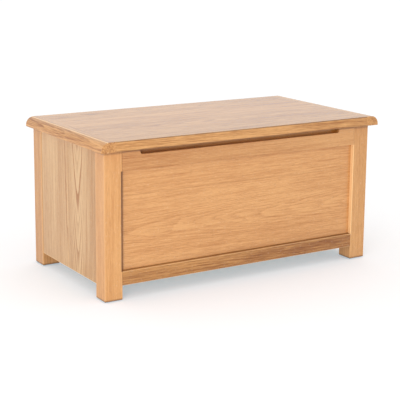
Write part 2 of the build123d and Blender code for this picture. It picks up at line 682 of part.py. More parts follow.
for side in SIDES:
    make_leaf(side, on_lid=False)
    make_leaf(side, on_lid=True)
    with BuildPart() as hinge_pin:
        with Locations(Plane(origin=(side * HINGE_X, PIN_Y, PIN_Z), z_dir=(1, 0, 0))):
            Cylinder(PIN_RADIUS, HINGE_LENGTH)
        for cap_side in SIDES:
            cap_x = side * HINGE_X + cap_side * (HINGE_LENGTH / 2 + PIN_CAP / 2)
            with Locations(Plane(origin=(cap_x, PIN_Y, PIN_Z), z_dir=(1, 0, 0))):
                Cylinder(PIN_RADIUS + PIN_CAP_RIM, PIN_CAP)
    save(hinge_pin, f"hinge_pin_{SIDES[side]}")

with BuildPart() as hinge_screws_body:
    screws(HINGE_SCREWS_BODY, *SMALL_SCREW)
save(hinge_screws_body, "hinge_screws_body")

with BuildPart() as hinge_screws_lid:
    screws(HINGE_SCREWS_LID, *SMALL_SCREW)
save(hinge_screws_lid, "hinge_screws_lid")

# ---- Slotted lid stay -------------------------------------------------------------------------

with BuildPart() as stay_bracket:
    block(
        (EAR_INNER_X - STAY_FOOT, EAR_OUTER_X),
        (RIVET_Y - STAY_FOOT_HALF, RIVET_Y + STAY_FOOT_HALF),
        (LID_UNDERSIDE - STAY_EAR, LID_UNDERSIDE),
    )
    block(
        (EAR_INNER_X, EAR_OUTER_X),
        (RIVET_Y - STAY_EAR_RADIUS, RIVET_Y + STAY_EAR_RADIUS),
        (RIVET_Z, LID_UNDERSIDE),
    )
    with Locations(Plane(origin=(EAR_INNER_X, RIVET_Y, RIVET_Z), z_dir=(1, 0, 0))):
        Cylinder(STAY_EAR_RADIUS, STAY_EAR, align=(Align.CENTER, Align.CENTER, Align.MIN))
        Cylinder(STAY_STUD_RADIUS, 3 * STAY_EAR, mode=Mode.SUBTRACT)
    screws(STAY_SCREWS_LID, *SMALL_SCREW, mode=Mode.SUBTRACT)
save(stay_bracket, "stay_bracket")

with BuildPart() as stay_rivet:
    shank = ARM_OUTER_X + STAY_GAP - EAR_INNER_X
    with Locations(Plane(origin=(EAR_INNER_X, RIVET_Y, RIVET_Z), z_dir=(1, 0, 0))):
        Cylinder(STAY_STUD_RADIUS, shank, align=(Align.CENTER, Align.CENTER, Align.MIN))
        Cylinder(STAY_RIVET_RADIUS, STAY_RIVET_HEAD, align=(Align.CENTER, Align.CENTER, Align.MAX))
    with Locations(Plane(origin=(EAR_INNER_X + shank, RIVET_Y, RIVET_Z), z_dir=(1, 0, 0))):
        Cylinder(STAY_RIVET_RADIUS, STAY_RIVET_TAIL, align=(Align.CENTER, Align.CENTER, Align.MIN))
save(stay_rivet, "stay_rivet")

with BuildPart() as stay_arm:
    along = Plane(
        origin=(ARM_INNER_X, RIVET_Y, RIVET_Z),
        x_dir=(0, STUD_Y - RIVET_Y, STUD_Z - RIVET_Z),
        z_dir=(1, 0, 0),
    )
    slot_start = CLOSED_REACH - 1
    slot_end = OPEN_REACH + STAY_GAP
    with BuildSketch(along):
        with Locations((slot_end / 2, 0)):
            SlotCenterToCenter(slot_end, STAY_ARM_WIDTH)
        with Locations(((slot_start + slot_end) / 2, 0)):
            SlotCenterToCenter(slot_end - slot_start, STAY_SLOT_WIDTH, mode=Mode.SUBTRACT)
        Circle(STAY_STUD_RADIUS + PIN_CLEARANCE, mode=Mode.SUBTRACT)
    extrude(amount=STAY_ARM_THICKNESS)
save(stay_arm, "stay_arm")

with BuildPart() as stay_stud:
    block(
        (PLATE_FACE_X, CLEAT_INNER_X),
        (STUD_Y - STAY_PLATE_HALF[0], STUD_Y + STAY_PLATE_HALF[0]),
        (STUD_Z - STAY_PLATE_HALF[1], STUD_Z + STAY_PLATE_HALF[1]),
    )
    fillet(stay_stud.edges().filter_by(Axis.X), STAY_PLATE_CORNER)
    with Locations(Plane(origin=(PLATE_FACE_X, STUD_Y, STUD_Z), z_dir=(-1, 0, 0))):
        Cylinder(
            STAY_STUD_RADIUS,
            PLATE_FACE_X - ARM_INNER_X + STAY_GAP,
            align=(Align.CENTER, Align.CENTER, Align.MIN),
        )
    with Locations(Plane(origin=(ARM_INNER_X - STAY_GAP, STUD_Y, STUD_Z), z_dir=(-1, 0, 0))):
        Cylinder(*STAY_STUD_HEAD, align=(Align.CENTER, Align.CENTER, Align.MIN))
    screws(STAY_SCREWS_BODY, *SMALL_SCREW, mode=Mode.SUBTRACT)
save(stay_stud, "stay_stud")

with BuildPart() as stay_screws_body:
    screws(STAY_SCREWS_BODY, *SMALL_SCREW)
save(stay_screws_body, "stay_screws_body")

with BuildPart() as stay_screws_lid:
    screws(STAY_SCREWS_LID, *SMALL_SCREW)
save(stay_screws_lid, "stay_screws_lid")
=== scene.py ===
from math import radians

import bpy
from mathutils import Matrix, Vector


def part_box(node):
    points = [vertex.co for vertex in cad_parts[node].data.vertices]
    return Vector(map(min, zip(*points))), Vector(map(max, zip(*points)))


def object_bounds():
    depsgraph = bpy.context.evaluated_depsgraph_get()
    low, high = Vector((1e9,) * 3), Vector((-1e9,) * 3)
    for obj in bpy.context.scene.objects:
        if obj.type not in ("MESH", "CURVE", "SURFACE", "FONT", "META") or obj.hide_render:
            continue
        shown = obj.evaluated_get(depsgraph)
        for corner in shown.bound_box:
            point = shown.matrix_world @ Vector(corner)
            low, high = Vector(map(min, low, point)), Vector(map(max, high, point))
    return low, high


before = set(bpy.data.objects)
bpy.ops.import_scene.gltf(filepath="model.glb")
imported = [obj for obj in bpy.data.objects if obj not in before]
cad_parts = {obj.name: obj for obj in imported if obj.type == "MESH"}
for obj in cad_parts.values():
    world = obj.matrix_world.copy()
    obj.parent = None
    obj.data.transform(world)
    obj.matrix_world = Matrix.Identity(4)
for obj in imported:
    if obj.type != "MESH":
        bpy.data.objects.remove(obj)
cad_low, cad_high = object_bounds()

# Looks, light and camera for an oak blanket chest. Lengths are in metres, except in the oak
# section, where the grain is worked out in millimetres.

MILLIMETRES = 1000.0

# ---- Camera and light values ----------------------------------------------------------------

CAMERA_AZIMUTH = 31.86  # degrees from straight in front towards the left
CAMERA_ELEVATION = 11.44
CAMERA_ROLL = 0.5
CAMERA_DISTANCE = 3.351
CAMERA_AIM_RIGHT = -0.010  # aim point, from the middle of the chest
CAMERA_AIM_UP = 0.084
CAMERA_LENS = 103.47
CAMERA_SENSOR = 36.0
CAMERA_SHIFT_Y = -0.10

WORLD_HORIZON = 1.0
WORLD_ZENITH = 0.95

KEY_AZIMUTH = 45.0
KEY_ELEVATION = 11.0
KEY_DISTANCE = 3.2
KEY_SIZE = 0.8
KEY_POWER = 22.0

FLOOR_SIZE = 40.0
FLOOR_PAINT = (0.84, 0.71, 0.64)
FLOOR_GLOW = (0.205, 0.33, 0.40)  # makes the open floor white with the light it reflects


# ---- Node helper ----------------------------------------------------------------------------


class Graph:
    """Adds nodes to one node tree and joins them up."""

    def __init__(self, tree):
        self.tree = tree

    def node(self, kind, inputs=None, **settings):
        made = self.tree.nodes.new(kind)
        for name, value in settings.items():
            setattr(made, name, value)
        for name, value in (inputs or {}).items():
            self.feed(made.inputs[name], value)
        return made

    def feed(self, socket, value):
        if isinstance(value, bpy.types.NodeSocket):
            self.tree.links.new(value, socket)
        else:
            socket.default_value = value

    def math(self, operation, *values, clamp=False):
        made = self.node("ShaderNodeMath", operation=operation, use_clamp=clamp)
        for socket, value in zip(made.inputs, values):
            self.feed(socket, value)
        return made.outputs[0]

    def vector(self, operation, *values):
        made = self.node("ShaderNodeVectorMath", operation=operation)
        for socket, value in zip(made.inputs, values):
            self.feed(socket, value)
        return made.outputs[0]

    def split(self, vector):
        return self.node("ShaderNodeSeparateXYZ", {"Vector": vector}).outputs

    def join(self, x, y, z):
        return self.node("ShaderNodeCombineXYZ", {"X": x, "Y": y, "Z": z}).outputs[0]

    def noise(self, point, lengths, detail=2.0, roughness=0.5):
        """Noise from 0 to 1 whose blotches are about as long as lengths on each axis."""
        rates = tuple(1.0 / length for length in lengths)
        place = self.vector("MULTIPLY", point, rates)
        inputs = {"Vector": place, "Scale": 1.0, "Detail": detail, "Roughness": roughness}
        return self.node("ShaderNodeTexNoise", inputs, noise_dimensions="3D").outputs["Fac"]

    def smooth(self, value, start, end, low=0.0, high=1.0):
        """Smooth step: low where value is at start, high where it is at end."""
        inputs = {"Value": value, "From Min": start, "From Max": end, "To Min": low, "To Max": high}
        made = self.node("ShaderNodeMapRange", inputs, interpolation_type="SMOOTHSTEP")
        return made.outputs["Result"]

    def mix(self, amount, first, second, blend="MIX"):
        made = self.node("ShaderNodeMix", data_type="RGBA", blend_type=blend)
        colour_sockets = [s for s in made.inputs if s.type == "RGBA"]
        self.feed(made.inputs["Factor"], amount)
        self.feed(colour_sockets[0], first)
        self.feed(colour_sockets[1], second)
        return next(s for s in made.outputs if s.type == "RGBA")


def rgba(colour):
    return (*colour, 1.0)


# ---- Oak ------------------------------------------------------------------------------------

# The group works in a board's own frame, in millimetres: X along the grain, Y across the face
# and Z through the thickness. Heart is the place of the tree's centre line, seen from the board.
OAK_INPUTS = {
    "Point": "NodeSocketVector",
    "Drift": "NodeSocketVector",
    "End grain": "NodeSocketFloat",
    "Half size": "NodeSocketVector",
    "Heart across": "NodeSocketFloat",
    "Heart depth": "NodeSocketFloat",
    "Taper": "NodeSocketFloat",
    "Ring width": "NodeSocketFloat",
    "Waver": "NodeSocketFloat",
    "Figure": "NodeSocketFloat",
    "Pale": "NodeSocketColor",
    "Dark": "NodeSocketColor",
    "Seam low": "NodeSocketVector",
    "Seam high": "NodeSocketVector",
    "Joint and shade depth": "NodeSocketFloat",
    "Arris width": "NodeSocketFloat",
    "Arris low": "NodeSocketFloat",
    "Arris high": "NodeSocketFloat",
    "Lean": "NodeSocketFloat",
    "Streaks": "NodeSocketFloat",
    "Stave joint": "NodeSocketFloat",
    "Line across": "NodeSocketFloat",
    "Line strength": "NodeSocketFloat",
    "Line depth": "NodeSocketFloat",
    "Foot darkening": "NodeSocketFloat",
    "Head shade": "NodeSocketFloat",
    "Notch shade from": "NodeSocketFloat",
}
OAK_OUTPUTS = {
    "Colour": "NodeSocketColor",
    "Roughness": "NodeSocketFloat",
    "Height": "NodeSocketFloat",
}

# Lengths of the grain's noises along, across and through the board
BROAD_TONE = (520.0, 55.0, 55.0)
WAVER_LONG = (190.0, 34.0, 34.0)
WAVER_SHORT = (52.0, 9.0, 9.0)
FIBRE = (110.0, 4.0, 4.0)
FINE_FIBRE = (34.0, 1.6, 1.6)
PORE = (13.0, 0.42, 0.42)
RAY = (7.0, 4.5, 0.7)
STREAK = (420.0, 8.0, 8.0)

# How much each noise counts in the wood's shade, and where pores and rays start to show
BASE_SHADE = 0.15
TONE_SHARE = 0.9
FIBRE_SHARE = 1.5
FINE_SHARE = 1.2
STREAK_SHARE = 0.9
PORE_NOISE = (0.56, 0.68)
RAY_NOISE = (0.62, 0.74)

# Growth rings
LONG_WAVER_SHARE = 3.0
SHORT_WAVER_SHARE = 0.7
EARLY_RISE = 0.14  # part of a year in which the early wood darkens
EARLY_FALL = 1.5  # power of its fading after that
FAINTEST_RING = 0.25
STAVE_DRIFT = (900.0, 0.0, 0.0)
STAVE_HEART = 55.0  # how far the tree's centre moves across, from one stave to the next

# Colours that tint the wood, and the colours of painted highlights and shade
PORE_OAK = (0.42, 0.36, 0.33)
PORE_STRENGTH = 0.55
RAY_OAK = (1.0, 0.9, 0.72)
RAY_STRENGTH = 0.06
END_OAK = (0.62, 0.55, 0.5)
END_STRENGTH = 0.12
WORN_AND_HIGHLIGHT_OAK = (1.0, 0.64, 0.31)  # rubbed arrises, partly a painted highlight, and pale lines that are painted highlights
DARKENING_AND_SHADE_OAK = (0.17, 0.11, 0.08)  # dark joints, arrises and feet, and painted shade beside the recessed panels, on the front left leg's inner arris and under the lid
NOTCH_SHADE_OAK = (0.72, 0.62, 0.36)  # painted shade on the wood deep in the finger notch

# Lines, darkening and painted shade, in millimetres
LINE_WIDTH = 3.0  # from the middle of a line to where it ends; pale lines are painted highlights
LINE_CORE = 0.8  # share of its depth at which a line is full
FOOT_HEIGHT = 7.0  # height of the darkening at a leg's foot
HEAD_HEIGHT = 11.0  # height of the painted shadow at a leg's head, under the lid
HEAD_CORE = 6.0  # height within which the head's painted shadow is full
NOTCH_SHADE_FADE = 8.0
SEAM_WIDTH = 2.0
SEAM_BLUR = 1.0  # softens where a seam or an arris begins
END_SEAM_SHARE = 0.5  # strength of the joint darkening and painted shade at a board's ends, against that at its sides
NO_SEAM = 10000.0  # a place outside every board

# Roughness and relief
BASE_ROUGHNESS = 0.36
PORE_ROUGHNESS = 0.2
FIBRE_ROUGHNESS = 0.22
END_ROUGHNESS = 0.15
RUBBED_ROUGHNESS = -0.05
FINE_RELIEF = 0.35
BAND_RELIEF = -0.3
OAK_BUMP = 0.5
OAK_BUMP_HEIGHT = 0.0002  # metres
LACQUER_ROUGHNESS = 0.2


def edge_closeness(g, point, half_size, width):
    """1 on a board's long edges and corners, 0 on its faces."""
    gaps = g.split(g.vector("SUBTRACT", half_size, g.vector("ABSOLUTE", point)))
    low = g.math("MINIMUM", gaps[0], gaps[1])
    high = g.math("MAXIMUM", gaps[0], gaps[1])
    second = g.math("MAXIMUM", low, g.math("MINIMUM", high, gaps[2]))
    return g.smooth(second, width, g.math("MULTIPLY", width, 0.5))


def seam_gaps(g, socket):
    """How far inside its neighbours each point of the board lies, along and across."""
    above = g.split(g.vector("SUBTRACT", socket["Point"], socket["Seam low"]))
    below = g.split(g.vector("SUBTRACT", socket["Seam high"], socket["Point"]))
    along = g.math("MINIMUM", above[0], below[0])
    across = g.math("MINIMUM", above[1], below[1])
    return along, across


def oak_rings(g, socket, grain_point, stave):
    """Growth rings cut by the board: how early in its year each point grew, and that ring's weight."""
    x, y, z = g.split(socket["Point"])
    heart = g.math("MULTIPLY_ADD", stave, -STAVE_HEART, socket["Heart across"])
    across = g.math("SUBTRACT", y, heart)
    depth = g.math("ADD", z, socket["Heart depth"])
    radius = g.math("SQRT", g.math("ADD", g.math("POWER", across, 2.0), g.math("POWER", depth, 2.0)))
    long_wave = g.math("SUBTRACT", g.noise(grain_point, WAVER_LONG), 0.5)
    short_wave = g.math("SUBTRACT", g.noise(grain_point, WAVER_SHORT), 0.5)
    short_wave = g.math("MULTIPLY", short_wave, SHORT_WAVER_SHARE)
    wave = g.math("ADD", g.math("MULTIPLY", long_wave, LONG_WAVER_SHARE), short_wave)
    grown = g.math("ADD", radius, g.math("MULTIPLY", wave, socket["Waver"]))
    grown = g.math("ADD", grown, g.math("MULTIPLY", x, socket["Taper"]))
    years = g.math("DIVIDE", grown, socket["Ring width"])
    part = g.math("FRACT", years)
    fading = g.math("POWER", g.math("SUBTRACT", 1.0, part), EARLY_FALL)
    early = g.math("MULTIPLY", fading, g.smooth(part, 0.0, EARLY_RISE))
    year = g.node("ShaderNodeTexWhiteNoise", {"W": g.math("FLOOR", years)}, noise_dimensions="1D")
    weight = g.math("MULTIPLY_ADD", year.outputs["Value"], 1.0 - FAINTEST_RING, FAINTEST_RING)
    return early, weight


def oak_group():
    tree = bpy.data.node_groups.new("oak", "ShaderNodeTree")
    for name, kind in OAK_INPUTS.items():
        tree.interface.new_socket(name, in_out="INPUT", socket_type=kind)
    for name, kind in OAK_OUTPUTS.items():
        tree.interface.new_socket(name, in_out="OUTPUT", socket_type=kind)
    g = Graph(tree)
    socket = g.node("NodeGroupInput").outputs
    along, side, through = g.split(socket["Point"])
    stave = g.math("GREATER_THAN", side, socket["Stave joint"])
    stave_drift = g.vector("SCALE", STAVE_DRIFT)
    g.feed(stave_drift.node.inputs["Scale"], stave)
    grain_point = g.vector("ADD", socket["Point"], g.vector("ADD", socket["Drift"], stave_drift))

    early, weight = oak_rings(g, socket, grain_point, stave)
    band = g.math("MULTIPLY", early, weight)
    tone = g.math("SUBTRACT", g.noise(grain_point, BROAD_TONE, 1.0), 0.5)
    fibre = g.math("SUBTRACT", g.noise(grain_point, FIBRE, 4.0, 0.62), 0.5)
    fine = g.math("SUBTRACT", g.noise(grain_point, FINE_FIBRE, 2.0), 0.5)
    pore_noise = g.noise(grain_point, PORE, 1.0)
    in_early_wood = g.math("MULTIPLY_ADD", early, 1.0 - FAINTEST_RING, FAINTEST_RING)
    pore = g.math("MULTIPLY", g.smooth(pore_noise, *PORE_NOISE), in_early_wood)
    ray = g.smooth(g.noise(grain_point, RAY, 1.0), *RAY_NOISE)
    streak = g.math("SUBTRACT", g.noise(grain_point, STREAK, 3.0, 0.6), 0.5)
    shade = g.math("MULTIPLY_ADD", g.math("MULTIPLY", band, socket["Figure"]), 1.0, BASE_SHADE)
    threads = g.math("MULTIPLY_ADD", fibre, FIBRE_SHARE, g.math("MULTIPLY", fine, FINE_SHARE))
    threads = g.math("MULTIPLY_ADD", streak, STREAK_SHARE, threads)
    shade = g.math("MULTIPLY_ADD", threads, socket["Streaks"], shade)
    half_length, _, half_through = g.split(socket["Half size"])
    shade = g.math("MULTIPLY_ADD", g.math("DIVIDE", along, half_length), socket["Lean"], shade)
    shade = g.math("MULTIPLY_ADD", tone, TONE_SHARE, shade, clamp=True)
    colour = g.mix(shade, socket["Pale"], socket["Dark"])
    pore_colour = g.mix(1.0, socket["Dark"], rgba(PORE_OAK), "MULTIPLY")
    colour = g.mix(g.math("MULTIPLY", pore, PORE_STRENGTH), colour, pore_colour)
    colour = g.mix(g.math("MULTIPLY", ray, RAY_STRENGTH), colour, rgba(RAY_OAK), "SCREEN")
    end_shade = g.math("MULTIPLY", socket["End grain"], END_STRENGTH)
    colour = g.mix(end_shade, colour, rgba(END_OAK), "MULTIPLY")

    # Pale arrises: wear, and on the legs partly a painted highlight
    edge_mottle = g.math("MULTIPLY_ADD", fibre, 0.9, 0.75, clamp=True)
    at_edge = edge_closeness(g, socket["Point"], socket["Half size"], socket["Arris width"])
    wear_and_highlight = g.math("MULTIPLY", at_edge, edge_mottle)
    arris = g.smooth(side, -SEAM_BLUR, SEAM_BLUR, socket["Arris low"], socket["Arris high"])
    pale_edge = g.math("MULTIPLY", wear_and_highlight, g.math("MAXIMUM", arris, 0.0))
    colour = g.mix(pale_edge, colour, rgba(WORN_AND_HIGHLIGHT_OAK))
    gap_along, gap_across = seam_gaps(g, socket)
    clear_of_neighbours = g.smooth(gap_along, -SEAM_BLUR, SEAM_BLUR)
    # Dark arrises; on the front left leg a painted shadow beside the recessed panel, elsewhere darker
    # edges
    stained = g.math("MULTIPLY", at_edge, clear_of_neighbours)
    dark_edge = g.math("MULTIPLY", stained, g.math("MAXIMUM", g.math("MULTIPLY", arris, -1.0), 0.0))
    colour = g.mix(dark_edge, colour, rgba(DARKENING_AND_SHADE_OAK), "MULTIPLY")
    # Lines: pale ones are painted highlights, the dark one is a stave joint line
    off_line = g.math("ABSOLUTE", g.math("SUBTRACT", side, socket["Line across"]))
    below_face = g.math("SUBTRACT", half_through, g.math("ABSOLUTE", through))
    line_core = g.math("MULTIPLY", socket["Line depth"], LINE_CORE)
    near_face = g.smooth(below_face, socket["Line depth"], line_core)
    on_line = g.math("MULTIPLY", g.smooth(off_line, LINE_WIDTH, 0.0), near_face)
    on_line = g.math("MULTIPLY", on_line, clear_of_neighbours)
    highlight_line = g.math("MULTIPLY", on_line, g.math("MAXIMUM", socket["Line strength"], 0.0))
    dark_strength = g.math("MAXIMUM", g.math("MULTIPLY", socket["Line strength"], -1.0), 0.0)
    colour = g.mix(highlight_line, colour, rgba(WORN_AND_HIGHLIGHT_OAK))
    colour = g.mix(g.math("MULTIPLY", on_line, dark_strength), colour, rgba(DARKENING_AND_SHADE_OAK), "MULTIPLY")
    # Painted shade deep in the finger notch
    hollow = g.smooth(g.math("SUBTRACT", through, socket["Notch shade from"]), 0.0, NOTCH_SHADE_FADE)
    colour = g.mix(hollow, colour, rgba(NOTCH_SHADE_OAK), "MULTIPLY")
    # Darker at a leg's foot; at its head a painted shadow under the lid
    foot = g.smooth(g.math("ADD", along, half_length), FOOT_HEIGHT, 0.0)
    foot_darkening = g.math("MULTIPLY", foot, socket["Foot darkening"])
    head = g.smooth(g.math("SUBTRACT", half_length, along), HEAD_HEIGHT, HEAD_CORE)
    head_shade = g.math("MULTIPLY", head, socket["Head shade"])
    foot_and_head_darkening = g.math("MAXIMUM", foot_darkening, head_shade)
    colour = g.mix(foot_and_head_darkening, colour, rgba(DARKENING_AND_SHADE_OAK), "MULTIPLY")
    # Joint darkening, and painted shade where a recessed panel meets its frame and under the lid
    end_joint_and_shade = g.math("MULTIPLY", g.smooth(gap_along, SEAM_WIDTH, 0.0), END_SEAM_SHARE)
    closeness = g.math("MAXIMUM", end_joint_and_shade, g.smooth(gap_across, SEAM_WIDTH, 0.0))
    joint_and_shade = g.math("MULTIPLY", closeness, socket["Joint and shade depth"])
    colour = g.mix(joint_and_shade, colour, rgba(DARKENING_AND_SHADE_OAK), "MULTIPLY")

    rough = g.math("MULTIPLY_ADD", pore, PORE_ROUGHNESS, BASE_ROUGHNESS)
    rough = g.math("MULTIPLY_ADD", fibre, FIBRE_ROUGHNESS, rough)
    rough = g.math("MULTIPLY_ADD", socket["End grain"], END_ROUGHNESS, rough)
    rough = g.math("MULTIPLY_ADD", wear_and_highlight, RUBBED_ROUGHNESS, rough, clamp=True)
    height = g.math("MULTIPLY_ADD", pore, -1.0, g.math("MULTIPLY", fine, FINE_RELIEF))
    height = g.math("MULTIPLY_ADD", band, BAND_RELIEF, height)

    ends = g.node("NodeGroupOutput")
    for name, value in {"Colour": colour, "Roughness": rough, "Height": height}.items():
        g.feed(ends.inputs[name], value)
    return tree


def new_material(name):
    made = bpy.data.materials.new(name)
    made.use_nodes = True
    g = Graph(made.node_tree)
    shader = next(n for n in made.node_tree.nodes if n.type == "BSDF_PRINCIPLED")
    return made, g, shader


def permuted(g, vector, axes):
    """The vector's parts in the order of the board's own frame: along, across, through."""
    parts = dict(zip("xyz", g.split(vector)))
    return g.join(*[parts[a] for a in axes])


def seam_limit(node, look, end):
    """Where the board's face runs in under its neighbours, in the board's own frame."""
    low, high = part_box(node)
    limit = []
    for axis in look["axes"]:
        at = "xyz".index(axis)
        neighbour = look["between"].get(axis, (None, None))[end]
        if neighbour is None:
            limit.append(NO_SEAM if end else -NO_SEAM)
            continue
        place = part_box(neighbour)[1 - end][at]
        reach = look["reach"].get(axis, 0.0)
        inset = -reach if end else reach
        limit.append((place - (low[at] + high[at]) / 2) * MILLIMETRES + inset)
    return tuple(limit)


def oak_material(name, node, look, seed):
    """Oak for one board: the grain runs along the first of look's axes."""
    made, g, shader = new_material(name)
    low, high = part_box(node)
    axes = look["axes"]
    middle = (low + high) / 2 * MILLIMETRES
    half = (high - low) / 2 * MILLIMETRES
    place = g.node("ShaderNodeTexCoord")
    point = g.vector("SCALE", place.outputs["Object"])
    point.node.inputs["Scale"].default_value = MILLIMETRES
    point = g.vector("SUBTRACT", point, tuple(middle))
    along_normal = g.split(permuted(g, place.outputs["Normal"], axes))[0]
    end_grain = g.smooth(g.math("ABSOLUTE", along_normal), 0.6, 0.9)
    oak = g.node("ShaderNodeGroup", node_tree=OAK)
    inputs = {
        "Point": permuted(g, point, axes),
        "Drift": (seed * 317.0, seed * 91.0, seed * 53.0),
        "End grain": end_grain,
        "Half size": tuple(half["xyz".index(a)] for a in axes),
        "Heart across": look["heart"][0],
        "Heart depth": look["heart"][1],
        "Taper": look["taper"],
        "Ring width": look["rings"],
        "Waver": look["waver"],
        "Figure": look["figure"],
        "Pale": rgba(look["pale"]),
        "Dark": rgba(look["dark"]),
        "Seam low": seam_limit(node, look, 0),
        "Seam high": seam_limit(node, look, 1),
        "Joint and shade depth": look["seam"],
        "Arris width": look["edge"],
        "Arris low": look["arris"][0],
        "Arris high": look["arris"][1],
        "Lean": look["lean"],
        "Streaks": look["streaks"],
        "Stave joint": look["joint"],
        "Line across": look["line"][0],
        "Line strength": look["line"][1],
        "Line depth": look["line_depth"],
        "Foot darkening": look["foot"],
        "Head shade": look["head"],
        "Notch shade from": look["hollow"],
    }
    for socket, value in inputs.items():
        g.feed(oak.inputs[socket], value)
    g.feed(shader.inputs["Base Color"], oak.outputs["Colour"])
    g.feed(shader.inputs["Roughness"], oak.outputs["Roughness"])
    shader.inputs["Specular IOR Level"].default_value = 0.0
    shader.inputs["Coat Weight"].default_value = look["lacquer"]
    shader.inputs["Coat Roughness"].default_value = LACQUER_ROUGHNESS
    relief = {"Height": oak.outputs["Height"], "Strength": OAK_BUMP, "Distance": OAK_BUMP_HEIGHT}
    bump = g.node("ShaderNodeBump", relief)
    g.feed(shader.inputs["Normal"], bump.outputs["Normal"])
    return made


def look(axes, heart, taper, rings, waver, figure, tint=1.0, **more):
    """The figure and the colours of one board, from the shared oak colours."""
    pale = tuple(c * tint for c in more.get("pale", OAK_PALE))
    dark = tuple(c * tint for c in more.get("dark", OAK_DARK))
    return {
        "axes": axes,
        "heart": heart,
        "taper": taper,
        "rings": rings,
        "waver": waver,
        "figure": figure,
        "pale": pale,
        "dark": dark,
        "lacquer": more.get("lacquer", 1.0),
        "between": more.get("between", {}),
        # seam: joint darkening, and painted shade in recessed panels and under the lid
        "seam": more.get("seam", 0.3),
        # arris: above 0 pale wear, partly a painted highlight; below 0 dark, on the front left leg a
        # painted shadow
        "arris": more.get("arris", (0.5, 0.5)),
        "edge": more.get("edge", 2.2),
        "lean": more.get("lean", 0.0),
        "streaks": more.get("streaks", 1.0),
        "joint": more.get("joint", NO_SEAM),
        "line": more.get("line", (NO_SEAM, 0.0)),
        "line_depth": more.get("line_depth", 2.0),
        "foot": more.get("foot", 0.0),
        "head": more.get("head", 0.0),
        "reach": more.get("reach", {}),
        "hollow": more.get("hollow", NO_SEAM),
    }


OAK_PALE = (0.74, 0.38, 0.145)
OAK_DARK = (0.50, 0.20, 0.057)
LEG_PALE = (0.74, 0.385, 0.145)
LEG_DARK = (0.52, 0.215, 0.060)
LOW_RAIL_PALE = (0.60, 0.285, 0.086)
LOW_RAIL_DARK = (0.24, 0.070, 0.012)
SIDE_PALE = (0.72, 0.455, 0.22)
SIDE_DARK = (0.42, 0.175, 0.045)
LID_PALE = (0.74, 0.38, 0.132)
LID_DARK = (0.34, 0.115, 0.021)
BATTEN_PALE = (0.72, 0.44, 0.22)
BATTEN_DARK = (0.50, 0.26, 0.10)

# head: a painted shadow under the lid; foot: darker at the foot
leg_colours = {"pale": LEG_PALE, "dark": LEG_DARK, "foot": 0.75, "head": 0.4}
low_rail_colours = {"pale": LOW_RAIL_PALE, "dark": LOW_RAIL_DARK}
side_colours = {"pale": SIDE_PALE, "dark": SIDE_DARK}
lid_colours = {"pale": LID_PALE, "dark": LID_DARK, "streaks": 1.25}
batten_colours = {"pale": BATTEN_PALE, "dark": BATTEN_DARK}

front_legs = {"x": ("leg_front_left", "leg_front_right")}
back_legs = {"x": ("leg_back_left", "leg_back_right")}
rails = {"z": ("front_bottom_rail", "front_top_rail")}
front_frame = {"x": ("leg_front_left", None), "z": ("front_bottom_rail", "front_top_rail")}
under_lid = {**front_legs, "z": (None, "lid_board_1")}
back_frame = {**back_legs, "z": ("back_bottom_rail", "back_top_rail")}
left_front = {"y": ("leg_front_left", "side_board_left_back")}
left_back = {"y": (None, "leg_back_left")}
right_front = {"y": ("leg_front_right", "side_board_right_back")}
right_back = {"y": (None, "leg_back_right")}

